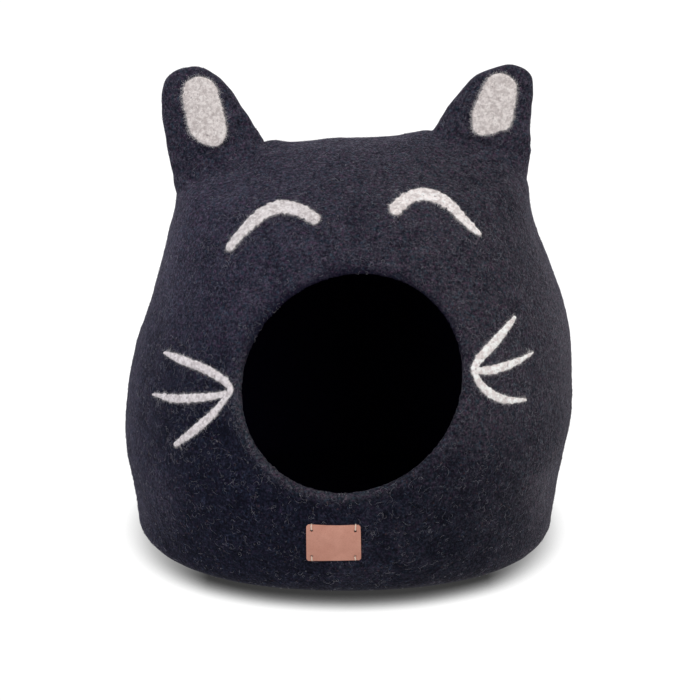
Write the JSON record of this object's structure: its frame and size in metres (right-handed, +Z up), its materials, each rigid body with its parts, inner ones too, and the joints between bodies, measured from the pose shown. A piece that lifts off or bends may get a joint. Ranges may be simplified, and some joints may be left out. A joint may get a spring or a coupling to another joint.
{
  "type": "felt cat cave",
  "caption": "Hollow wool felt house for a cat: rounded body on a flat base, round doorway with a thick lip, two ears, pale wool face and a small leather patch.",
  "frame": {"origin": "middle of the flat base, on the surface that the cave stands on", "axes": "+Z up, the doorway and the face look along -Y, +X is to the right of someone who looks at the face"},
  "size_m": [0.4367, 0.4317, 0.456],
  "materials": {
    "charcoal_felt": "matt wet-felted wool, dark charcoal with a blue cast and stray lighter fibres",
    "pale_wool": "matt needle-felted wool, warm off-white, nubby, with soft fibrous edges",
    "tan_leather": "plain semi-matt tan leather with a fine grain"
  },
  "bodies": {
    "root": {"felt_shell": "charcoal_felt", "ear_inlay_left": "pale_wool", "ear_inlay_right": "pale_wool", "eye_left": "pale_wool", "eye_right": "pale_wool", "whisker_bend_left": "pale_wool", "whisker_bend_right": "pale_wool", "whisker_middle_left": "pale_wool", "whisker_middle_right": "pale_wool", "leather_patch": "tan_leather"}
  },
  "joints": []
}
